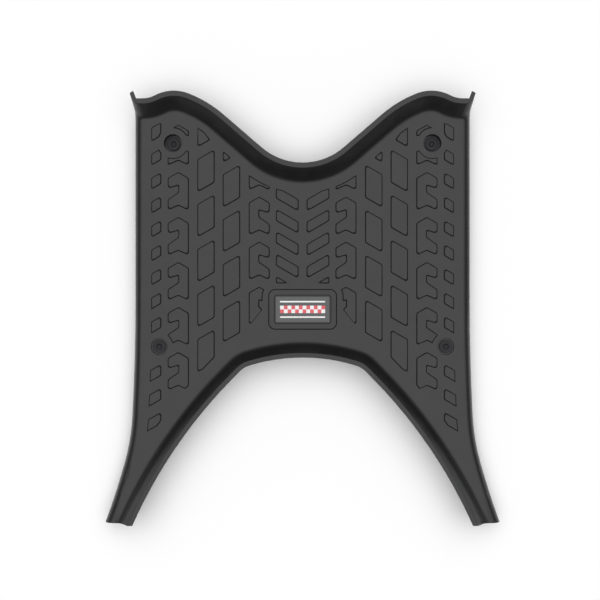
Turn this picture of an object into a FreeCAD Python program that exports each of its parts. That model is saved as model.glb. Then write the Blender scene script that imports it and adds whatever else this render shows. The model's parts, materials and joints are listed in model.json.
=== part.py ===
import FreeCAD, Part
import math
import os

# Moulded rubber floor mat for the footboard of a step-through scooter.
# Millimetres and degrees. +X is the rider's right, +Y is forward, +Z is up. The origin is the middle of the
# mat's box, on the plane of the screw tips that the mat stands on.

# Overall sizes
length = 413.0  # front lobes to leg ends
side_width = 323.0  # across the straight stretch of the turned-down sides
sheet_thickness = 3.9
lip_height = 15.0  # floor to the flat top of both lips

# Front lip: slope and bend of its section, then its outer top edge from the corner to the centre notch
front_slope = 51.5
front_bend_radius = 6.0
corner_flat = 1.55
corner_radius = 23.2
corner_angle = 28.2
lobe_radius = 38.5
shoulder_angle = 21.2
shoulder_radius = 114.5
flank_angle = 40.8
notch_radius = 59.4

# Rear lip: slope and bend of its section, then its outer top edge from the crown of the arch to a leg end
rear_slope = 60.0
rear_bend_radius = 7.0
arch_depth = 159.6  # leg ends to the crown
crown_radius = 171.7
crown_angle = 17.1
hip_radius = 22.0
hip_angle = 45.7
hip_run = 12.5
leg_radius = 467.7

# Turned-down sides: section, then the outer edge from the straight side to a leg end
flange_slope = 68.0
flange_bend_radius = 8.0
flange_drop = 7.9  # floor to the outer bottom edge
flare_length = 214.0  # leg ends to where the side starts to flare
flare_radius = 2065.0
flare_angle = 3.1
elbow_radius = 209.0
elbow_angle = 15.4
toe_radius = 694.0
horn_lean = 6.6  # outward lean of the horns, in which the sides end above the front corners

# Screws: low-headed hexagon socket screws, shorter in front because the front wells are deeper
screw_radius = 3.0
neck_radius = 4.0  # plain neck through the rubber, above the thread
head_radius = 6.2
head_height = 2.5
socket_across = 5.0
socket_depth = 1.8
front_screw_length = 12.0
rear_screw_length = 20.0

# Screw wells: a moulded cup in front, and a counterbore in the sheet at the rear
front_screw_inset = 36.9  # in from the straight sides
front_screw_back = 48.1  # behind the front lobes
front_seat_depth = 10.5
front_well_gap = 2.3
rear_screw_inset = 24.0  # in from the straight sides
rear_screw_ahead = 169.6  # in front of the leg ends
rear_seat_depth = 2.5
rear_well_gap = 1.8
cup_wall = 2.5
cup_web = 3.0
neck_clearance = 0.2

# Tread: raised blocks with leaning walls and the sharpest corners cut off
tread_height = 1.5
tread_draft = 0.9  # how far a wall leans in, seen from above
tread_corner = 1.2  # cut along each side of a sharp corner
sharp_turn = 80.0  # corners where the outline turns further than this are cut
tread_slant = 30.0
tread_pitch = 43.2
front_stretch = 2.2  # how much longer the first stud and the first outer arrow are
smallest_block = 12.0  # cubic millimetres

# Bare floor round the tread, measured from where each bend ends, or from the screws and the frame
lobe_margin = 4.2
flank_margin = 6.0
notch_margin = 7.5
rear_margin = 9.5
side_margin = 7.6
front_screw_margin = 14.4  # radius
rear_screw_margin = 13.0  # radius
badge_margin = 5.4

# Tread columns, from the outside in: inner edge from the centre line, first block behind the front lobes
stud_inner = 135.6
stud_width = 17.3  # before the bare strip beside the side is cut off
stud_side = 11.4
stud_pitch = 23.0
stud_first = 29.9
outer_arrow_inner = 109.1
outer_arrow_width = 20.4
outer_arrow_first = 32.5
outer_slab_inner = 84.4
outer_slab_width = 16.7
outer_slab_first = 10.7
inner_slab_inner = 59.9
inner_slab_width = 16.8
inner_slab_first = 25.3
slab_side = 32.0
inner_arrow_inner = 31.5
inner_arrow_width = 20.2
inner_arrow_first = 56.2
arrow_stop = 125.0  # nearest that an arrow's point comes to the leg ends
slat_inner = 3.8
slat_width = 21.9
slat_side = 11.7
slat_pitch = 21.5
slat_first = 89.5

# Arrow block: heights below its point
arrow_foot = 37.2
arrow_notch = 32.5
arrow_slot_tip_top = 13.2
arrow_slot_tip_bottom = 19.5
arrow_slot_mouth_top = 16.4
arrow_slot_mouth_bottom = 26.5

# Inlay plate and its raised frame
badge_width = 54.0
badge_length = 27.0
badge_corner = 2.5
badge_thickness = 1.5
badge_ahead = 45.7  # centre in front of the crown of the arch
badge_clearance = 0.3
badge_sink = 0.9  # plate top below the frame's top
frame_border = 6.0
frame_corner = 6.7

Vector = FreeCAD.Vector
up = Vector(0, 0, 1)
reach = length + side_width  # longer than anything here, for cutting tools
floor_z = max(front_seat_depth + front_screw_length, rear_seat_depth + rear_screw_length)
front_y = length / 2
leg_end_y = -length / 2
crown_y = leg_end_y + arch_depth
badge_y = crown_y + badge_ahead


def sine(degrees):
    return math.sin(math.radians(degrees))


def cosine(degrees):
    return math.cos(math.radians(degrees))


def tangent(degrees):
    return math.tan(math.radians(degrees))


def mirrored(shape):
    return shape.mirror(Vector(0, 0, 0), Vector(1, 0, 0))


def outward(solid):
    """The same solid with its faces pointing out."""
    if solid.Volume < 0:
        solid.reverse()
    return solid


def fused(shapes):
    return shapes[0].multiFuse(shapes[1:])


class Track:
    """A plan line of tangent runs and bends. Offsets and profiles lie on its left-hand side."""

    def __init__(self, start, heading):
        self.end = start
        self.heading = heading
        self.moves = []

    def ahead(self):
        return Vector(cosine(self.heading), sine(self.heading), 0)

    def left(self):
        return Vector(-sine(self.heading), cosine(self.heading), 0)

    def run(self, distance):
        start = self.end
        self.end = start + self.ahead() * distance
        self.moves.append((start, self.heading, distance, None, 0))

    def bend(self, radius, turn):
        """Turn left by positive degrees and right by negative ones."""
        start = self.end
        centre = start + self.left() * math.copysign(radius, turn)
        self.moves.append((start, self.heading, 0, centre, turn))
        self.end = centre + FreeCAD.Rotation(up, turn).multVec(start - centre)
        self.heading += turn

    def edges(self, offset):
        """The line's edges at a distance to its left, at the height of the floor."""
        lines = []
        for start, heading, distance, centre, turn in self.moves:
            first = start + Vector(-sine(heading), cosine(heading), 0) * offset
            if centre is None:
                last = first + Vector(cosine(heading), sine(heading), 0) * distance
                lines.append(line(first, last))
            else:
                middle = centre + FreeCAD.Rotation(up, turn / 2).multVec(first - centre)
                last = centre + FreeCAD.Rotation(up, turn).multVec(first - centre)
                lines.append(Part.Arc(first, middle, last).toShape())
        return lines

    def carry(self, move, profile):
        """Carry a profile along one move. Its local X points left, and its Z is up."""
        start, heading, distance, centre, turn = move
        face = profile.copy()
        face.rotate(Vector(0, 0, 0), up, heading + 90)
        face.translate(start)
        if centre is None:
            return outward(face.extrude(Vector(cosine(heading), sine(heading), 0) * distance))
        return outward(face.revolve(centre, up * math.copysign(1, turn), abs(turn)))

    def sweep(self, profile):
        return [self.carry(move, profile) for move in self.moves]


def line(start, end):
    return Part.LineSegment(start, end).toShape()


def arc_about(centre, start, end):
    """The shorter arc between two points at the same distance from a centre."""
    half_way = ((start + end) * 0.5 - centre).normalize()
    return Part.Arc(start, centre + half_way * (start - centre).Length, end).toShape()


# Lips
def lip_width(slope, bend_radius):
    """Plan distance from a lip's outer top edge to where the flat floor starts."""
    strip = sheet_thickness / sine(slope)
    rise = lip_height - bend_radius * (1 - cosine(slope))
    return strip + rise / tangent(slope) + bend_radius * sine(slope)


def lip_section(slope, bend_radius):
    """Section of a turned-up lip, from its outer top edge at 0 inwards to where the flat floor starts."""
    foot = lip_width(slope, bend_radius)
    centre = Vector(foot, 0, bend_radius)
    to_slope = Vector(-sine(slope), 0, -cosine(slope))
    down_slope = Vector(cosine(slope), 0, -sine(slope))
    under_radius = bend_radius + sheet_thickness
    under_chamfer = under_radius * tangent(slope / 4)
    floor_top = Vector(foot, 0, 0)
    floor_under = Vector(foot, 0, -sheet_thickness)
    top_bend = centre + to_slope * bend_radius
    inner_edge = Vector(sheet_thickness / sine(slope), 0, lip_height)
    outer_edge = Vector(0, 0, lip_height)
    chamfer_top = centre + to_slope * under_radius + down_slope * under_chamfer
    chamfer_foot = floor_under - Vector(under_chamfer, 0, 0)
    corners = [top_bend, inner_edge, outer_edge, chamfer_top, chamfer_foot, floor_under, floor_top]
    edges = [arc_about(centre, floor_top, top_bend)]
    edges += [line(start, end) for start, end in zip(corners, corners[1:])]
    return Part.Face(Part.Wire(edges))


flange_straight_drop = flange_drop - flange_bend_radius * (1 - cosine(flange_slope))
flange_width = flange_bend_radius * sine(flange_slope) + flange_straight_drop / tangent(flange_slope)
fold_x = side_width / 2 - flange_width
front_lip = lip_width(front_slope, front_bend_radius)
rear_lip = lip_width(rear_slope, rear_bend_radius)

# The front track runs from the right corner to the centre of the notch
corner_y = front_y - (lobe_radius + corner_radius) * (1 - cosine(corner_angle))
bends_width = corner_radius * sine(corner_angle) + lobe_radius * (sine(corner_angle) + sine(shoulder_angle))
bends_width += shoulder_radius * (sine(flank_angle) - sine(shoulder_angle)) + notch_radius * sine(flank_angle)
front_track = Track(Vector(fold_x, corner_y, floor_z), 180)
front_track.run(corner_flat)
front_track.bend(corner_radius, -corner_angle)
front_track.bend(lobe_radius, corner_angle + shoulder_angle)
front_track.bend(shoulder_radius, flank_angle - shoulder_angle)
front_track.run((fold_x - corner_flat - bends_width) / cosine(flank_angle))
front_track.bend(notch_radius, -flank_angle)

# The rear track runs from the crown of the arch past the right leg's end
rear_track = Track(Vector(0, crown_y, floor_z), 0)
rear_track.bend(crown_radius, -crown_angle)
rear_track.bend(hip_radius, crown_angle - hip_angle)
rear_track.run(hip_run)
leg_drop = rear_track.end.y - leg_end_y
leg_angle = math.degrees(math.acos(cosine(hip_angle) - leg_drop / leg_radius))
rear_track.bend(leg_radius, hip_angle - leg_angle)
rear_track.run(lip_height + sheet_thickness)

# The side track is the flange's outer edge, from the start of the front bend past the right leg's end
bend_y = corner_y - front_lip
side_track = Track(Vector(side_width / 2, bend_y, floor_z), -90)
side_track.run(bend_y - leg_end_y - flare_length)
side_track.bend(flare_radius, flare_angle)
side_track.bend(elbow_radius, elbow_angle - flare_angle)
toe_drop = side_track.end.y - leg_end_y
toe_angle = math.degrees(math.asin(sine(elbow_angle) + toe_drop / toe_radius))
side_track.bend(toe_radius, toe_angle - elbow_angle)
side_track.run(flange_drop + sheet_thickness)


def track_point(edges, last):
    """The first or last point of a chain of edges that were made in order."""
    return edges[-1].valueAt(edges[-1].LastParameter) if last else edges[0].valueAt(edges[0].FirstParameter)


def region(edges, corners):
    """A flat face inside a chain of edges that is closed through further corner points."""
    points = [track_point(edges, True)] + corners + [track_point(edges, False)]
    closing = [line(start, end) for start, end in zip(points, points[1:])]
    return Part.Face(Part.Wire(Part.__sortEdges__(edges + closing)))


def behind_front(offset):
    """The right half of the plan, behind the front lip's outer edge by an offset."""
    outer_corner = Vector(reach, corner_y - offset, floor_z)
    corners = [Vector(0, -reach, floor_z), Vector(reach, -reach, floor_z), outer_corner]
    return region(front_track.edges(offset), corners)


def arch_gap(offset):
    """The right half of the arch's gap, with the arch's outer edge moved into the mat by an offset."""
    edges = rear_track.edges(offset)
    return region(edges, [Vector(0, track_point(edges, True).y, floor_z)])


def beyond_side(offset):
    """The plan outside the right side's outer edge, with the edge moved inwards by an offset."""
    edges = side_track.edges(-offset)
    front = track_point(edges, False)
    back = track_point(edges, True)
    corners = [Vector(reach, back.y, floor_z), Vector(reach, reach, floor_z), Vector(front.x, reach, floor_z)]
    return region(edges, corners)


# Turned-down sides and horns
def flange_section():
    """Section of a side, from the fold at the floor out and down to its square-cut foot, outer edge at 0."""
    centre = Vector(-flange_width, 0, -flange_bend_radius)
    facing = Vector(sine(flange_slope), 0, cosine(flange_slope))
    fold = Vector(-flange_width, 0, 0)
    bend_end = centre + facing * flange_bend_radius
    outer_foot = Vector(0, 0, -flange_drop)
    inner_foot = outer_foot - facing * sheet_thickness
    inner_rise = -sheet_thickness - inner_foot.z
    inner_corner = inner_foot + Vector(-inner_rise / tangent(flange_slope), 0, inner_rise)
    under_fold = Vector(-flange_width, 0, -sheet_thickness)
    corners = [bend_end, outer_foot, inner_foot, inner_corner, under_fold, fold]
    edges = [arc_about(centre, fold, bend_end)]
    edges += [line(start, end) for start, end in zip(corners, corners[1:])]
    return Part.Face(Part.Wire(edges))


def front_horn():
    """The side carried up the front lip, round its bend and up its slope, leaning out from the lip's end."""
    axis = Vector(1, 0, 0)
    axis_point = Vector(fold_x, bend_y, floor_z + front_bend_radius)
    side_end = flange_section()
    side_end.translate(Vector(side_width / 2, bend_y, floor_z))
    bend = outward(side_end.revolve(axis_point, axis, front_slope))
    bent_end = side_end.copy()
    bent_end.rotate(axis_point, axis, front_slope)
    up_slope = Vector(0, cosine(front_slope), sine(front_slope)) * reach
    leaning = up_slope + axis * (reach * tangent(horn_lean))
    to_back = Vector(0, sine(front_slope), -cosine(front_slope))
    foot = axis_point + to_back * front_bend_radius
    web = Part.Face(Part.makePolygon([foot, foot + leaning, foot + up_slope, foot]))
    above = Part.makeBox(4 * reach, 4 * reach, 4 * reach, Vector(-reach, -reach, floor_z + lip_height))
    tall = [outward(bent_end.extrude(leaning)), outward(web.extrude(to_back * sheet_thickness))]
    return [bend] + [piece.cut(above) for piece in tall]


def behind_legs():
    return Part.makeBox(2 * reach, reach, 2 * reach, Vector(-reach, leg_end_y - reach, -reach))


def floor_face():
    """The right half of the flat floor, between the bends of the lips and the side."""
    floor = behind_front(front_lip)
    for gap in (arch_gap(rear_lip), beyond_side(flange_width), behind_legs()):
        floor = floor.cut(gap)
    return floor


def mat_sheet():
    """The bare sheet: floor, lips, sides and horns."""
    swept = rear_track.sweep(lip_section(rear_slope, rear_bend_radius)) + side_track.sweep(flange_section())
    pieces = [outward(floor_face().extrude(up * -sheet_thickness).Solids[0])]
    pieces += front_track.sweep(lip_section(front_slope, front_bend_radius)) + front_horn()
    pieces += [piece.cut(behind_legs()) for piece in swept]
    right = fused([piece for piece in pieces if piece.Solids])
    return right.fuse(mirrored(right)).removeSplitter()


# Tread
def turn_at(before, here, after):
    """How far the outline turns at a corner, in degrees, to the left as positive."""
    first = here - before
    second = after - here
    return math.degrees(math.atan2(first.cross(second).z, first.dot(second)))


def neighbours(points):
    return zip(points[-1:] + points[:-1], points, points[1:] + points[:1])


def inset(points, distance):
    """An outline that runs round to the left, with every side moved inwards."""
    moved = []
    for before, here, after in neighbours(points):
        first = up.cross(here - before).normalize()
        second = up.cross(after - here).normalize()
        moved.append(here + (first + second) * (distance / (1 + first.dot(second))))
    return moved


def corner_cut(before, here, after, size):
    """The two ends of a cut across a corner."""
    return [here + (before - here).normalize() * size, here + (after - here).normalize() * size]


def block_ring(points):
    """A block's outline with its sharp corners cut off."""
    ring = []
    for before, here, after in neighbours(points):
        is_sharp = turn_at(before, here, after) > sharp_turn
        ring += corner_cut(before, here, after, tread_corner) if is_sharp else [here]
    return ring


def raised_block(corners):
    """A block on the floor whose walls lean in from a foot outline that runs round to the left."""
    points = [Vector(x, y, floor_z) for x, y in corners]
    foot_ring = block_ring(points)
    top_ring = block_ring([point + up * tread_height for point in inset(points, tread_draft)])
    faces = [Part.Face(Part.makePolygon(ring + ring[:1])) for ring in (foot_ring, top_ring)]
    rings = list(zip(foot_ring, top_ring))
    for (foot_a, top_a), (foot_b, top_b) in zip(rings, rings[1:] + rings[:1]):
        faces.append(Part.Face(Part.makePolygon([foot_a, foot_b, top_b, top_a, foot_a])))
    return outward(Part.Solid(Part.Shell(faces)))


def rounded_wire(points, radius):
    """A closed outline of square corners with an arc at each."""
    cuts = [corner_cut(before, here, after, radius) for before, here, after in neighbours(points)]
    edges = []
    for here, (start, end), following in zip(points, cuts, cuts[1:] + cuts[:1]):
        edges.append(arc_about(start + end - here, start, end))
        edges.append(line(end, following[0]))
    return Part.Wire(edges)


def slanted_block(inner_x, outer_x, side, top_y, rise):
    """A parallelogram whose top edge leaves the inner side at top_y and falls outwards by rise."""
    foot_y = top_y - side
    corners = [(inner_x, top_y), (inner_x, foot_y), (outer_x, foot_y - rise), (outer_x, top_y - rise)]
    return raised_block(corners)


def arrow_block(inner_x, width, point_y, slot_faces_out, stretch):
    """A block with a pointed top that may be stretched up, a notched foot and a slanted slot in one side."""
    middle = inner_x + width / 2
    shoulder = width / 2 * tangent(tread_slant) - stretch
    slot_side = width / 2 if slot_faces_out else -width / 2
    corners = [(middle, -stretch), (middle - slot_side, shoulder), (middle - slot_side, arrow_foot)]
    corners += [(middle, arrow_notch), (middle + slot_side, arrow_foot)]
    corners += [(middle + slot_side, arrow_slot_mouth_bottom), (middle, arrow_slot_tip_bottom)]
    corners += [(middle, arrow_slot_tip_top), (middle + slot_side, arrow_slot_mouth_top)]
    corners.append((middle + slot_side, shoulder))
    outline = [(x, point_y - below) for x, below in corners]
    return raised_block(outline if slot_faces_out else outline[::-1])


def column(first, pitch, stop):
    """Places of a column's blocks, from the first one behind the front to the stop ahead of the leg ends."""
    count = int((length - first - stop) / pitch) + 1
    return [front_y - first - pitch * place for place in range(count)]


def whole_blocks():
    """Every block of the right half, before the bare places are taken out."""
    slant = tangent(tread_slant)
    stud_outer = stud_inner + stud_width
    stud_rise = stud_width * slant
    slat_rise = -slat_width * slant
    blocks = []
    for place, top_y in enumerate(column(stud_first, stud_pitch, 0)):
        stretch = 0 if place else front_stretch
        blocks.append(slanted_block(stud_inner, stud_outer, stud_side + stretch, top_y + stretch, stud_rise))
    for place, point_y in enumerate(column(outer_arrow_first, tread_pitch, arrow_stop)):
        stretch = 0 if place else front_stretch
        blocks.append(arrow_block(outer_arrow_inner, outer_arrow_width, point_y, True, stretch))
    for point_y in column(inner_arrow_first, tread_pitch, arrow_stop):
        blocks.append(arrow_block(inner_arrow_inner, inner_arrow_width, point_y, False, 0))
    slabs = [(outer_slab_inner, outer_slab_width, outer_slab_first)]
    slabs.append((inner_slab_inner, inner_slab_width, inner_slab_first))
    for inner_x, width, first in slabs:
        for top_y in column(first, tread_pitch, 0):
            blocks.append(slanted_block(inner_x, inner_x + width, slab_side, top_y, width * slant))
    for top_y in column(slat_first, slat_pitch, 0):
        inner_y = top_y + slat_rise
        blocks.append(slanted_block(slat_inner, slat_inner + slat_width, slat_side, inner_y, slat_rise))
    return blocks


def rounded_rectangle(width, depth, corner, z):
    """A face round the inlay plate's centre."""
    half_x, half_y = width / 2, depth / 2
    corners = [(-half_x, -half_y), (half_x, -half_y), (half_x, half_y), (-half_x, half_y)]
    return Part.Face(rounded_wire([Vector(x, badge_y + y, z) for x, y in corners], corner))


frame_width = badge_width + 2 * frame_border
frame_length = badge_length + 2 * frame_border

# Walls of the bare places lean with the blocks, from one tread height below the floor to two above it
bare_low = -tread_height
bare_high = 2 * tread_height
bare_low_draft = -tread_draft
bare_high_draft = 2 * tread_draft


def strip_section(width):
    """Section of a bare strip, from a track's line at 0 to a leaning wall at a width to the left or right."""
    inwards = math.copysign(1, width)
    low = width + inwards * bare_low_draft
    high = width + inwards * bare_high_draft
    outline = [(0, bare_low), (low, bare_low), (high, bare_high), (0, bare_high)]
    corners = [Vector(x, 0, z) for x, z in outline]
    return Part.Face(Part.makePolygon(corners + corners[:1]))


def bare_places():
    """What is cut from the blocks: strips at the lips and sides, discs at the screws, the frame's field."""
    front_margins = [lobe_margin] * (len(front_track.moves) - 2) + [flank_margin, notch_margin]
    places = rear_track.sweep(strip_section(rear_lip + rear_margin))
    places += side_track.sweep(strip_section(-flange_width - side_margin))
    for move, margin in zip(front_track.moves, front_margins):
        places.append(front_track.carry(move, strip_section(front_lip + margin)))
    for fixing, radius in ((front_fixing, front_screw_margin), (rear_fixing, rear_screw_margin)):
        low, high = radius + bare_low_draft, radius + bare_high_draft
        places.append(Part.makeCone(low, high, bare_high - bare_low, fixing.place + up * bare_low))
    rings = []
    for z, draft in ((bare_low, bare_low_draft), (bare_high, bare_high_draft)):
        border = badge_margin + draft
        sides = (frame_width + 2 * border, frame_length + 2 * border)
        rings.append(rounded_rectangle(*sides, frame_corner + border, floor_z + z).OuterWire)
    return places + [outward(Part.makeLoft(rings, True, True))]


def tread_blocks():
    """All the raised blocks, clipped to the flat floor and round the bare places."""
    field = floor_face().extrude(up * tread_height)
    clipped = Part.makeCompound(whole_blocks()).common(field).cut(bare_places())
    right = [block for block in clipped.Solids if block.Volume > smallest_block]
    return right + [mirrored(block) for block in right]


# Screws and their wells
class Fixing:
    """A mirrored pair of screws, given by the right one's place on the floor, its seat and its well."""

    def __init__(self, inset, y, seat_depth, well_gap, web, screw_length):
        self.place = Vector(side_width / 2 - inset, y, floor_z)
        self.seat_depth = seat_depth
        self.well_radius = head_radius + well_gap
        self.web = web  # rubber between the screw's head and the footboard
        self.screw_length = screw_length

    def well(self):
        """The well and the hole for the screw's neck."""
        seat = self.place - up * self.seat_depth
        hole = Part.makeCylinder(neck_radius + neck_clearance, self.web, seat - up * self.web)
        return Part.makeCylinder(self.well_radius, self.seat_depth, seat).fuse(hole)

    def cup(self):
        """The rubber round a well that is deeper than the sheet, before the well is cut."""
        depth = self.seat_depth + self.web
        return Part.makeCylinder(self.well_radius + cup_wall, depth, self.place - up * depth)

    def screw(self):
        """A low-headed hexagon socket screw on its seat."""
        radii = [0, screw_radius, screw_radius, neck_radius, neck_radius, head_radius, head_radius, 0]
        tip_z = -self.screw_length
        heights = [tip_z, tip_z, -self.web, -self.web, 0, 0, head_height, head_height]
        corners = [Vector(radius, 0, z) for radius, z in zip(radii, heights)]
        body = Part.Face(Part.makePolygon(corners + corners[:1])).revolve(Vector(0, 0, 0), up, 360)
        socket_radius = socket_across / math.sqrt(3)
        socket_z = head_height - socket_depth
        angles = [60 * corner for corner in range(6)]
        rim = [Vector(socket_radius * cosine(a), socket_radius * sine(a), socket_z) for a in angles]
        socket = Part.Face(Part.makePolygon(rim + rim[:1])).extrude(up * socket_depth)
        screw = outward(body).cut(socket).Solids[0]
        screw.translate(self.place - up * self.seat_depth)
        return screw


def pair(solid):
    return [solid, mirrored(solid)]


front_fixing = Fixing(front_screw_inset, front_y - front_screw_back, front_seat_depth, front_well_gap,
                      cup_web, front_screw_length)
rear_fixing = Fixing(rear_screw_inset, leg_end_y + rear_screw_ahead, rear_seat_depth, rear_well_gap,
                     sheet_thickness - rear_seat_depth, rear_screw_length)


def make_mat():
    frame_face = rounded_rectangle(frame_width, frame_length, frame_corner, floor_z)
    frame_top = rounded_rectangle(frame_width - 2 * tread_draft, frame_length - 2 * tread_draft,
                                  frame_corner - tread_draft, floor_z + tread_height)
    frame = outward(Part.makeLoft([frame_face.OuterWire, frame_top.OuterWire], True, True))
    recess_floor = floor_z + tread_height - badge_sink - badge_thickness
    recess = rounded_rectangle(badge_width + 2 * badge_clearance, badge_length + 2 * badge_clearance,
                               badge_corner + badge_clearance, recess_floor)
    body = mat_sheet().multiFuse(pair(front_fixing.cup())).removeSplitter()
    body = body.cut(pair(front_fixing.well()) + pair(rear_fixing.well()))
    body = body.multiFuse(tread_blocks() + [frame])
    return body.cut(recess.extrude(up * (tread_height + badge_thickness + badge_sink)))


def make_badge_plate():
    bottom = floor_z + tread_height - badge_sink - badge_thickness
    return rounded_rectangle(badge_width, badge_length, badge_corner, bottom).extrude(up * badge_thickness)


os.makedirs("parts", exist_ok=True)
make_mat().Solids[0].exportStep("parts/mat.step")
make_badge_plate().exportStep("parts/badge_plate.step")
Part.makeCompound(pair(front_fixing.screw())).exportStep("parts/front_screws.step")
Part.makeCompound(pair(rear_fixing.screw())).exportStep("parts/rear_screws.step")
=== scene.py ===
import bmesh
import bpy
import json
import math
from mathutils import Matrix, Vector
from mathutils.geometry import delaunay_2d_cdt


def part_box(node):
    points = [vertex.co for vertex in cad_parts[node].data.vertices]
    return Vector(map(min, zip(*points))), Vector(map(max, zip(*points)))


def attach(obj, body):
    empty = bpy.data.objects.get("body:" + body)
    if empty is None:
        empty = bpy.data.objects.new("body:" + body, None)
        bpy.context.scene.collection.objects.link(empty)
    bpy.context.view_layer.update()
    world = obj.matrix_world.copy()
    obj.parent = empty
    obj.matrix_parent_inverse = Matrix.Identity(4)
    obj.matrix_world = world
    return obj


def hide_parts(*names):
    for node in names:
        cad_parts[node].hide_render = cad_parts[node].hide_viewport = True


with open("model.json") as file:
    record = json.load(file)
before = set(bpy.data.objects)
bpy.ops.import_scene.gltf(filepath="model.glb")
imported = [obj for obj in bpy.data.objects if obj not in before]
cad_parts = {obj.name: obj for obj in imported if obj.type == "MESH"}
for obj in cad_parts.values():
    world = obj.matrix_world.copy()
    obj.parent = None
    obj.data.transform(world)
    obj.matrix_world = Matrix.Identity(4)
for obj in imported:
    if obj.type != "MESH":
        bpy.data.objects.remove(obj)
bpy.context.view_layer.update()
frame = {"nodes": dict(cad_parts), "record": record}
front_mount, rear_mount = frame["record"]["mounts"]
mm = 0.001

# The mat is one compression moulding in black rubber: a flat floor with tread blocks, turned-up lips and
# turned-down sides. The mould leaves small rounds on the raised edges and a fine even grain.
# To the eye the rubber is nearly black, faintly blotched, with a dull sheen.
rubber_dark = "#181818"
rubber_light = "#1d1d1e"
rubber_roughness = 0.35
rubber_ior = 1.455
default_ior = 1.5  # the shader's own
tone_from = 0.3
tone_full = 0.7
blotch_size = 16 * mm
blotch_detail = 3
grain_size = 1.1 * mm  # coarser than the mould's real grain of about 0.3 mm, so that it shows
grain_detail = 2
grain_depth = 0.05 * mm
grain_strength = 0.4
lip_height = 15 * mm
tread_height = 1.5 * mm
sheet_thickness = 3.9 * mm
floor_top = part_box("mat")[1].z - lip_height
tread_top = floor_top + tread_height
sheet_under = floor_top - sheet_thickness
edge_round = 0.25 * mm
round_steps = 2
sharp_edge = math.radians(24)
flat_join = math.radians(0.6)
flat_enough = 0.999  # cosine of the most that a flat face may tilt
nearly_level = 0.99995  # cosine of the most that a face shaded as a plane may tilt
nearly_along = 0.97  # cosine of the most that a bend may turn at a level face and still start level
weld = 0.002 * mm
slack = 0.02 * mm  # how far off a point may lie and still count as there
corner_turn = math.radians(18)
corner_round = 1.4 * mm
corner_steps = 4
corner_profile = 0.5  # a plain arc
corner_share = 0.46  # the most that a round takes of the shortest side beside it
wide_corner = 2.5 * corner_round  # corners with longer sides than this get the full round
longest_step = 3 * mm  # steps in a block's outline that are shorter than this are taken out
longest_cut = 1.9 * mm  # cuts across a block's corner that are shorter than this are widened
shortest_side = 5 * mm  # the side that such a cut is widened along is longer than this
cut_slide = 0.9 * mm
bridge_half = 6.9 * mm
bridge_lean = 0.9 * mm
bridge_near = 11.1 * mm  # measured in from the screw, as is the far side
bridge_far = 17.6 * mm
bridge_search = 20 * mm
inside_outlines = 1  # the kind of filling that keeps the triangles inside the outlines
fill_gap = 0.0001  # in millimetres, as the points of the floor's outlines are


def linear(hex_colour):
    """An sRGB hex colour as linear red, green, blue and alpha."""
    shares = [int(hex_colour[start:start + 2], 16) / 255 for start in (1, 3, 5)]
    values = [share / 12.92 if share <= 0.04045 else ((share + 0.055) / 1.055) ** 2.4 for share in shares]
    return (*values, 1)


def add_node(tree, kind, inputs, **settings):
    """Add a node, set its properties, and give each input a value or another node's output."""
    made = tree.nodes.new(kind)
    for name, value in settings.items():
        setattr(made, name, value)
    for name, value in inputs.items():
        if isinstance(value, bpy.types.NodeSocket):
            tree.links.new(value, made.inputs[name])
        else:
            made.inputs[name].default_value = value
    return made


def new_material(name, roughness, ior=default_ior, metallic=0):
    """A material with one Principled shader, together with its tree and that shader."""
    material = bpy.data.materials.new(name)
    material.use_nodes = True
    shader = material.node_tree.nodes["Principled BSDF"]
    shader.inputs["Roughness"].default_value = roughness
    shader.inputs["IOR"].default_value = ior
    shader.inputs["Metallic"].default_value = metallic
    return material, material.node_tree, shader


def two_tone(tree, factor, first, second):
    """A ramp from one hex colour to another."""
    ramp = add_node(tree, "ShaderNodeValToRGB", {"Fac": factor})
    stops = ramp.color_ramp.elements
    for stop, colour, position in zip(stops, (first, second), (tone_from, tone_full)):
        stop.color = linear(colour)
        stop.position = position
    return ramp.outputs["Color"]


def merged_copy(node):
    """A CAD node's mesh with its loose triangles welded."""
    mesh = bmesh.new()
    mesh.from_mesh(frame["nodes"][node].data)
    bmesh.ops.remove_doubles(mesh, verts=mesh.verts, dist=weld)
    return mesh


def at_height(vertex, height):
    """Whether a vertex lies at a height."""
    return abs(vertex.co.z - height) < slack


def lies_flat(face, height):
    """Whether a face lies level at a height."""
    return abs(face.normal.z) > flat_enough and all(at_height(vertex, height) for vertex in face.verts)


def join_flats(mesh, kept_height=None):
    """Join the triangles of each flat face, apart from those that lie level at a kept height."""
    edges = mesh.edges[:]
    if kept_height is not None:
        edges = [edge for edge in edges
                 if not all(lies_flat(face, kept_height) for face in edge.link_faces)]
    bmesh.ops.dissolve_limit(mesh, angle_limit=flat_join, verts=[], edges=edges)
    return mesh


def level_shading(data):
    """Shade every level face as a plane, and start the bends beside it level."""
    normals = [corner.vector.copy() for corner in data.corner_normals]
    level_places = {}
    for polygon in data.polygons:
        if abs(polygon.normal.z) > nearly_level:
            for loop, vertex in zip(polygon.loop_indices, polygon.vertices):
                normals[loop] = polygon.normal.copy()
                level_places[vertex] = polygon.normal.copy()
    for loop in data.loops:
        level = level_places.get(loop.vertex_index)
        if level and normals[loop.index].dot(level) > nearly_along:
            normals[loop.index] = level
    data.normals_split_custom_set(normals)


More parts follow.
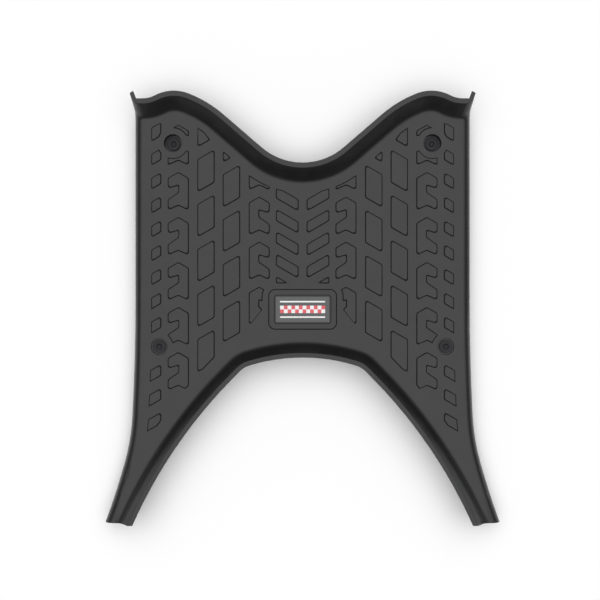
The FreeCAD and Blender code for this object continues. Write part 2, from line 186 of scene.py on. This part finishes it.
def rounded_piece(name, mesh, width, material, kept_edges=()):
    """Round a mesh's raised edges, apart from those kept sharp, and make a smooth object of it."""
    weights = mesh.edges.layers.float.new("bevel_weight_edge")
    for face in mesh.faces:
        face.smooth = True
    for edge in mesh.edges:
        if edge.is_manifold and edge.calc_face_angle() > sharp_edge:
            is_rounded = edge.is_convex and edge not in kept_edges
            edge[weights] = 1 if is_rounded else 0
            edge.smooth = is_rounded
    data = bpy.data.meshes.new(name)
    mesh.to_mesh(data)
    mesh.free()
    piece = bpy.data.objects.new(name, data)
    bpy.context.collection.objects.link(piece)
    bevel = piece.modifiers.new("edge_round", "BEVEL")
    bevel.limit_method = "WEIGHT"
    bevel.width = width
    bevel.segments = round_steps
    bevel.use_clamp_overlap = False
    bevel.harden_normals = True
    evaluated = piece.evaluated_get(bpy.context.evaluated_depsgraph_get())
    piece.data = bpy.data.meshes.new_from_object(evaluated)
    piece.data.name = name
    level_shading(piece.data)
    piece.modifiers.clear()
    piece.data.materials.clear()
    piece.data.materials.append(material)
    return piece


def place_piece(piece, node):
    """Let a piece stand for its CAD node."""
    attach(piece, "root")
    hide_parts(node)


def open_floor(mesh):
    """Take out the flat floor, so that the blocks on it can be worked on."""
    flats = [face for face in mesh.faces if lies_flat(face, floor_top)]
    bmesh.ops.delete(mesh, geom=flats, context="FACES")


def sides_of(triangle):
    """The three sides of a triangle, each as the numbers of its two corners."""
    return [tuple(sorted(pair)) for pair in zip(triangle, triangle[1:] + triangle[:1])]


def reached_from(corner, triangles, outline):
    """The numbers of the triangles that a walk from a corner reaches without crossing the outline."""
    beside = {}
    for number, triangle in enumerate(triangles):
        for side in sides_of(triangle):
            beside.setdefault(side, []).append(number)
    reached = {number for number, triangle in enumerate(triangles) if corner in triangle}
    waiting = list(reached)
    while waiting:
        for side in sides_of(triangles[waiting.pop()]):
            if side not in outline:
                fresh = [number for number in beside[side] if number not in reached]
                reached.update(fresh)
                waiting += fresh
    return sorted(reached)


def close_floor(mesh):
    """Fill the flat floor again, from its outer rim up to the feet of all that stands on it."""
    rim = [edge for edge in mesh.edges if edge.is_boundary]
    corners = list({vertex: None for edge in rim for vertex in edge.verts})
    order = {vertex: place for place, vertex in enumerate(corners)}
    outline = {tuple(sorted(order[vertex] for vertex in edge.verts)) for edge in rim}
    flat = [vertex.co.xy / mm for vertex in corners]
    filled, sources = delaunay_2d_cdt(flat, sorted(outline), [], inside_outlines, fill_gap)[2:4]
    triangles = [[sources[place][0] for place in triangle] for triangle in filled]
    leg_end = min(range(len(flat)), key=lambda place: flat[place].y)
    for number in reached_from(leg_end, triangles, outline):
        mesh.faces.new([corners[place] for place in triangles[number]])
    bmesh.ops.recalc_face_normals(mesh, faces=mesh.faces)


def screw_axes(mount):
    """Where the two screws of a mount meet the footboard."""
    half_spacing = mount["dims"]["spacing_x_mm"] * mm / 2
    return [Vector(mount["pos_m"]) + Vector((side * half_spacing, 0, 0)) for side in (-1, 1)]


def inward(point, screw):
    """How much nearer to the middle of the mat a point lies than a screw."""
    return abs(screw.x) - abs(point.x)


def in_bridge_strip(vertex, screw):
    """Whether a vertex lies on a screw's own side of the mat, as far in from it as the thin bridge."""
    return vertex.co.x * screw.x > 0 and bridge_near < inward(vertex.co, screw) < bridge_far


def close_bridge_end(mesh, screw, side):
    """Wall up the block where the bridge was cut off, with a wall that leans as the others do."""
    end_y = screw.y + side * bridge_half
    loose = {vertex for edge in mesh.edges if edge.is_boundary for vertex in edge.verts
             if abs(vertex.co.y - end_y) < slack and in_bridge_strip(vertex, screw)}
    end_wall = mesh.faces.new(sorted(loose, key=lambda vertex: vertex.co.x))
    for vertex in loose:
        vertex.co.y += side * bridge_lean * (vertex.co.z - floor_top) / tread_height
    end_wall.normal_update()
    if end_wall.normal.y * side > 0:
        end_wall.normal_flip()


def cut_bridge(mesh, screw):
    """Cut out the thin bridge that is left of a block between a front screw and the block's inner side."""
    near = [face for face in mesh.faces
            if any(in_bridge_strip(vertex, screw) and abs(vertex.co.y - screw.y) < bridge_search
                   and vertex.co.z > floor_top - slack for vertex in face.verts)]
    for end_y in (screw.y - bridge_half, screw.y + bridge_half):
        geometry = near + list(dict.fromkeys(edge for face in near for edge in face.edges))
        geometry += list(dict.fromkeys(vertex for face in near for vertex in face.verts))
        cut = bmesh.ops.bisect_plane(
            mesh, geom=geometry, dist=weld, plane_co=(0, end_y, 0), plane_no=(0, 1, 0))
        near = [item for item in cut["geom"] if isinstance(item, bmesh.types.BMFace)]
    middles = {face: face.calc_center_median() for face in near}
    bridge = [face for face, middle in middles.items()
              if abs(middle.y - screw.y) < bridge_half and inward(middle, screw) > bridge_near]
    bmesh.ops.delete(mesh, geom=bridge, context="FACES")
    for side in (-1, 1):
        close_bridge_end(mesh, screw, side)


def upper_end(edge):
    """The upper one of an edge's two vertices."""
    return max(edge.verts, key=lambda vertex: vertex.co.z)


def is_upright(edge):
    """Whether an edge runs from the floor to the top of a tread block."""
    upper = upper_end(edge)
    return at_height(upper, tread_top) and at_height(edge.other_vert(upper), floor_top)


def block_corners(mesh):
    """The leaning edges at the corners of the tread blocks, as lists of edges by the block's top face."""
    blocks = {}
    mesh.faces.index_update()
    for edge in mesh.edges:
        if is_upright(edge) and edge.is_manifold and edge.calc_face_angle() > corner_turn:
            top = max(upper_end(edge).link_faces, key=lambda face: face.normal.z)
            blocks.setdefault(top.index, []).append(edge)
    return blocks


def make_step(edge, other):
    """Whether two corner edges, one hollow and one raised, make a small step in a block's outline."""
    shared_walls = set(edge.link_faces) & set(other.link_faces)
    gap = (upper_end(edge).co - upper_end(other).co).length
    return shared_walls and edge.is_convex != other.is_convex and gap < longest_step


def top_sides(edge, walls):
    """The sides of a block's top that start at a corner and belong to one of the walls given."""
    return [side for side in upper_end(edge).link_edges
            if all(at_height(vertex, tread_top) for vertex in side.verts) and set(side.link_faces) & walls]


def widen_cuts(corners):
    """Widen the cut at each sharp corner of a block, so that its rounding shows."""
    moves = {}
    for edge in corners:
        for wall in edge.link_faces:
            across = [other for other in corners if other is not edge and wall in other.link_faces]
            far_walls = set(edge.link_faces) - {wall}
            far_sides = top_sides(edge, far_walls)
            if len(across) != 1 or len(far_sides) != 1 or not (edge.is_convex and across[0].is_convex):
                continue
            start = upper_end(edge)
            gap = (start.co - upper_end(across[0]).co).length
            if gap < longest_cut and far_sides[0].calc_length() > shortest_side:
                run = far_sides[0].other_vert(start).co - start.co
                moves[edge] = run.normalized() * cut_slide
    for edge, move in moves.items():
        for vertex in edge.verts:
            vertex.co += move


def corner_room(edge):
    """Length of the shortest side of a block's top or foot at a corner."""
    return min(side.calc_length() for end in edge.verts for side in end.link_edges
               if at_height(side.other_vert(end), end.co.z))


def round_block_corners(mesh):
    """Take small steps out of the blocks' outlines and round their corners in plan."""
    for corners in block_corners(mesh).values():
        steps = [edge for edge in corners if any(make_step(edge, other) for other in corners)]
        if steps:
            bmesh.ops.dissolve_edges(mesh, edges=steps, use_verts=True)
    for corners in block_corners(mesh).values():
        widen_cuts(corners)
    for corners in block_corners(mesh).values():
        room = {edge: corner_room(edge) for edge in corners}
        for wide in (True, False):
            chosen = [edge for edge in corners if (room[edge] > wide_corner) == wide]
            if chosen:
                size = min(corner_round, corner_share * min(room[edge] for edge in chosen))
                bmesh.ops.bevel(mesh, geom=chosen, offset=size, offset_type="OFFSET", segments=corner_steps,
                                profile=corner_profile, affect="EDGES", clamp_overlap=False)


rubber, tree, shader = new_material("moulded_rubber", rubber_roughness, rubber_ior)
place = add_node(tree, "ShaderNodeTexCoord", {}).outputs["Object"]
blotch = add_node(tree, "ShaderNodeTexNoise", {
    "Vector": place, "Scale": 1 / blotch_size, "Detail": blotch_detail})
rubber_tone = two_tone(tree, blotch.outputs["Fac"], rubber_dark, rubber_light)
tree.links.new(rubber_tone, shader.inputs["Base Color"])
grain = add_node(tree, "ShaderNodeTexNoise", {
    "Vector": place, "Scale": 1 / grain_size, "Detail": grain_detail})
bump = add_node(tree, "ShaderNodeBump", {
    "Height": grain.outputs["Fac"], "Distance": grain_depth, "Strength": grain_strength})
tree.links.new(bump.outputs["Normal"], shader.inputs["Normal"])

mat_mesh = merged_copy("mat")
open_floor(mat_mesh)
join_flats(mat_mesh, sheet_under)
for screw in screw_axes(front_mount):
    cut_bridge(mat_mesh, screw)
round_block_corners(mat_mesh)
close_floor(mat_mesh)
upright_edges = {edge for edge in mat_mesh.edges if is_upright(edge)}
mat = rounded_piece("moulded_mat", mat_mesh, edge_round, rubber, upright_edges)
place_piece(mat, "mat")

# The inlay plate is cut from thin plastic sheet, screen-printed and glued into the raised frame's recess.
# Its print is a plain check band between two lines on grey; the black band round it is painted shade of the
# recess gap.
# To the eye it is satin plastic in flat colours, paler and smoother than the rubber round it.
plate_grey = "#4d4e4f"
painted_gap_black = "#171717"
plate_red = "#d9525c"
plate_white = "#ececec"
plate_roughness = 0.38
plate_ior = 1.49
plate_round = 0.25 * mm
plate_low, plate_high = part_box("badge_plate")
plate_middle = (plate_low + plate_high) / 2
# The black band along the plate's edge is painted shade, standing in for the gap between plate and frame.
painted_gap_width = 1.5 * mm
painted_gap_x = (plate_high.x - plate_low.x) / 2 - painted_gap_width
painted_gap_y = (plate_high.y - plate_low.y) / 2 - painted_gap_width
check_side = 3.6 * mm
checks_across = 12
print_half_width = checks_across / 2 * check_side
band_half = check_side
line_middle = 7.4 * mm
line_half = 0.7 * mm

# A Mix node takes its two colours at inputs 6 and 7 and gives the mixed one at output 2.
printed, tree, shader = new_material("printed_satin_plastic", plate_roughness, plate_ior)
place = add_node(tree, "ShaderNodeTexCoord", {}).outputs["Object"]
centred = add_node(
    tree, "ShaderNodeMapping", {"Vector": place, "Location": -plate_middle}).outputs["Vector"]
axes = add_node(tree, "ShaderNodeSeparateXYZ", {"Vector": centred})
across = add_node(tree, "ShaderNodeMath", {0: axes.outputs["X"]}, operation="ABSOLUTE").outputs[0]
along = add_node(tree, "ShaderNodeMath", {0: axes.outputs["Y"]}, operation="ABSOLUTE").outputs[0]
in_width = add_node(
    tree, "ShaderNodeMath", {0: across, 1: print_half_width}, operation="LESS_THAN").outputs[0]
in_band = add_node(tree, "ShaderNodeMath", {0: along, 1: band_half}, operation="LESS_THAN").outputs[0]
band = add_node(tree, "ShaderNodeMath", {0: in_band, 1: in_width}, operation="MULTIPLY").outputs[0]
on_line = add_node(
    tree, "ShaderNodeMath", {0: along, 1: line_middle, 2: line_half}, operation="COMPARE").outputs[0]
lines = add_node(tree, "ShaderNodeMath", {0: on_line, 1: in_width}, operation="MULTIPLY").outputs[0]
# Beyond these limits the plate is painted black as the shade in the gap round it.
past_x = add_node(tree, "ShaderNodeMath", {0: across, 1: painted_gap_x}, operation="GREATER_THAN").outputs[0]
past_y = add_node(tree, "ShaderNodeMath", {0: along, 1: painted_gap_y}, operation="GREATER_THAN").outputs[0]
painted_gap = add_node(tree, "ShaderNodeMath", {0: past_x, 1: past_y}, operation="MAXIMUM").outputs[0]
checks = add_node(tree, "ShaderNodeTexChecker", {
    "Vector": centred, "Scale": 1 / check_side, "Color1": linear(plate_red), "Color2": linear(plate_white)})
with_lines = add_node(tree, "ShaderNodeMix", {
    0: lines, 6: linear(plate_grey), 7: linear(plate_white)}, data_type="RGBA")
with_band = add_node(tree, "ShaderNodeMix", {
    0: band, 6: with_lines.outputs[2], 7: checks.outputs["Color"]}, data_type="RGBA")
with_painted_gap = add_node(tree, "ShaderNodeMix", {
    0: painted_gap, 6: with_band.outputs[2], 7: linear(painted_gap_black)}, data_type="RGBA")
tree.links.new(with_painted_gap.outputs[2], shader.inputs["Base Color"])

plate = rounded_piece("printed_plate", join_flats(merged_copy("badge_plate")), plate_round, printed)
place_piece(plate, "badge_plate")

# The four screws are low-headed hexagon socket screws in black-finished steel, with a plain neck above the
# thread. They are headed and rolled, pass through the rubber and turn into the footboard.
# To the eye the steel is a dark satin metal with a fine speckle, and each socket ends in a dark point.
steel_dark = "#29292b"
steel_light = "#2f2f31"
steel_roughness = 0.42
speckle_size = 0.6 * mm  # coarser than the real finish's, so that it shows from close by
speckle_detail = 2
screw_round = 0.3 * mm
socket_depth = 1.8 * mm
socket_point = 1.6 * mm
screw_radius = front_mount["dims"]["stud_r_mm"] * mm
thread_pitch = 1 * mm
thread_depth = 0.5 * mm
thread_core = screw_radius - thread_depth
points_per_turn = 20
ridge_sides = 4

blacked, tree, shader = new_material("black_oxide_steel", steel_roughness, metallic=1)
place = add_node(tree, "ShaderNodeTexCoord", {}).outputs["Object"]
speckle = add_node(tree, "ShaderNodeTexNoise", {
    "Vector": place, "Scale": 1 / speckle_size, "Detail": speckle_detail})
steel_tone = two_tone(tree, speckle.outputs["Fac"], steel_dark, steel_light)
tree.links.new(steel_tone, shader.inputs["Base Color"])

thread_tree = bpy.data.node_groups.new("rolled_thread", "GeometryNodeTree")
thread_sockets = thread_tree.interface
thread_sockets.new_socket("Geometry", in_out="INPUT", socket_type="NodeSocketGeometry")
thread_inputs = {label: thread_sockets.new_socket(label, in_out="INPUT", socket_type="NodeSocketFloat")
                 for label in ("Turns", "Core Radius", "Height", "Ridge")}
thread_sockets.new_socket("Geometry", in_out="OUTPUT", socket_type="NodeSocketGeometry")
given = add_node(thread_tree, "NodeGroupInput", {})
spiral = add_node(thread_tree, "GeometryNodeCurveSpiral", {
    "Resolution": points_per_turn, "Rotations": given.outputs["Turns"], "Height": given.outputs["Height"],
    "Start Radius": given.outputs["Core Radius"], "End Radius": given.outputs["Core Radius"]})
ridge = add_node(thread_tree, "GeometryNodeCurvePrimitiveCircle", {
    "Resolution": ridge_sides, "Radius": given.outputs["Ridge"]})
helix = add_node(thread_tree, "GeometryNodeCurveToMesh", {
    "Curve": spiral.outputs["Curve"], "Profile Curve": ridge.outputs["Curve"], "Fill Caps": True})
on_screws = add_node(thread_tree, "GeometryNodeInstanceOnPoints", {
    "Points": given.outputs["Geometry"], "Instance": helix.outputs["Mesh"]})
real = add_node(thread_tree, "GeometryNodeRealizeInstances", {"Geometry": on_screws.outputs["Instances"]})
blackened = add_node(thread_tree, "GeometryNodeSetMaterial", {
    "Geometry": real.outputs["Geometry"], "Material": blacked})
add_node(thread_tree, "NodeGroupOutput", {"Geometry": blackened.outputs["Geometry"]})


def thin_shanks(mesh, axes):
    """Draw the plain shanks in to the core of the thread."""
    for vertex in mesh.verts:
        axis = axes[0] if vertex.co.x < 0 else axes[1]
        out = Vector((vertex.co.x - axis.x, vertex.co.y - axis.y, 0))
        if abs(out.length - screw_radius) < slack:
            vertex.co -= out * (thread_depth / out.length)


def point_sockets(mesh, node):
    """End each hexagon socket in a drilled point."""
    socket_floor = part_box(node)[1].z - socket_depth
    floors = [face for face in mesh.faces if lies_flat(face, socket_floor)]
    for point in bmesh.ops.poke(mesh, faces=floors)["verts"]:
        point.co.z -= socket_point


def wound_thread(name, node, axes):
    """A mesh of both screws' threads, from just above the tips to just below the top of the footboard."""
    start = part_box(node)[0].z + thread_depth
    height = axes[0].z - start - thread_pitch / 2
    tips = bpy.data.meshes.new(name + "_tips")
    tips.from_pydata([(axis.x, axis.y, start) for axis in axes], [], [])
    thread = bpy.data.objects.new(name + "_thread", tips)
    bpy.context.collection.objects.link(thread)
    modifier = thread.modifiers.new("thread", "NODES")
    modifier.node_group = thread_tree
    modifier[thread_inputs["Turns"].identifier] = height / thread_pitch
    modifier[thread_inputs["Core Radius"].identifier] = thread_core
    modifier[thread_inputs["Height"].identifier] = height
    modifier[thread_inputs["Ridge"].identifier] = thread_depth
    evaluated = thread.evaluated_get(bpy.context.evaluated_depsgraph_get())
    wound = bpy.data.meshes.new_from_object(evaluated)
    bpy.data.objects.remove(thread)
    return wound


def threaded_pair(name, node, mount):
    """Both screws of a node, with rounded edges and a thread in place of the plain shank below the neck."""
    axes = screw_axes(mount)
    mesh = join_flats(merged_copy(node))
    thin_shanks(mesh, axes)
    point_sockets(mesh, node)
    screws = rounded_piece(name, mesh, screw_round, blacked)
    joined = bmesh.new()
    joined.from_mesh(screws.data)
    joined.from_mesh(wound_thread(name, node, axes))
    joined.to_mesh(screws.data)
    joined.free()
    return screws


place_piece(threaded_pair("front_socket_screws", "front_screws", front_mount), "front_screws")
place_piece(threaded_pair("rear_socket_screws", "rear_screws", rear_mount), "rear_screws")

# The stage is a matt white studio floor under a soft light, far brighter overhead than at the horizon.
# The camera looks straight down on the mat, as far away as the photograph's perspective says.
# To the camera the surroundings are plain white, whatever light they give.
floor_white = "#fdfdfd"
floor_half = 4000 * mm
floor_roughness = 1
zenith_light = 1.92
horizon_light = 0.2
light_from = 0.5
light_full = 0.93
light_lean = math.radians(6)
background_white = 1.0
camera_height = 1222.5 * mm
camera_x = -2.5 * mm
camera_y = 7.8 * mm
camera_lens = 75
camera_sensor = 36

paper, tree, shader = new_material("studio_floor", floor_roughness)
shader.inputs["Base Color"].default_value = linear(floor_white)
shader.inputs["Specular IOR Level"].default_value = 0
corners = [(-floor_half, -floor_half, 0), (floor_half, -floor_half, 0), (floor_half, floor_half, 0),
           (-floor_half, floor_half, 0)]
sheet = bpy.data.meshes.new("studio_floor")
sheet.from_pydata(corners, [], [(0, 1, 2, 3)])
sheet.materials.append(paper)
floor = bpy.data.objects.new("studio_floor", sheet)
bpy.context.collection.objects.link(floor)

# A Mix node takes its two numbers at inputs 2 and 3.
world = bpy.data.worlds.new("studio_light")
world.use_nodes = True
bpy.context.scene.world = world
tree = world.node_tree
direction = add_node(tree, "ShaderNodeTexCoord", {}).outputs["Generated"]
light_axis = (0, math.sin(light_lean), math.cos(light_lean))
height = add_node(tree, "ShaderNodeVectorMath", {0: direction, 1: light_axis}, operation="DOT_PRODUCT")
level = add_node(tree, "ShaderNodeMapRange", {
    "Value": height.outputs["Value"], "From Min": light_from, "From Max": light_full,
    "To Min": horizon_light, "To Max": zenith_light}, interpolation_type="SMOOTHSTEP")
path = add_node(tree, "ShaderNodeLightPath", {})
strength = add_node(tree, "ShaderNodeMix", {
    0: path.outputs["Is Camera Ray"], 2: level.outputs[0], 3: background_white})
sky = tree.nodes["Background"]
sky.inputs["Color"].default_value = (1, 1, 1, 1)
tree.links.new(strength.outputs[0], sky.inputs["Strength"])

lens = bpy.data.cameras.new("camera")
lens.lens = camera_lens
lens.sensor_width = camera_sensor
camera = bpy.data.objects.new("camera", lens)
camera.location = (camera_x, camera_y, camera_height)
bpy.context.collection.objects.link(camera)
bpy.context.scene.camera = camera
bpy.context.scene.view_settings.view_transform = "Standard"
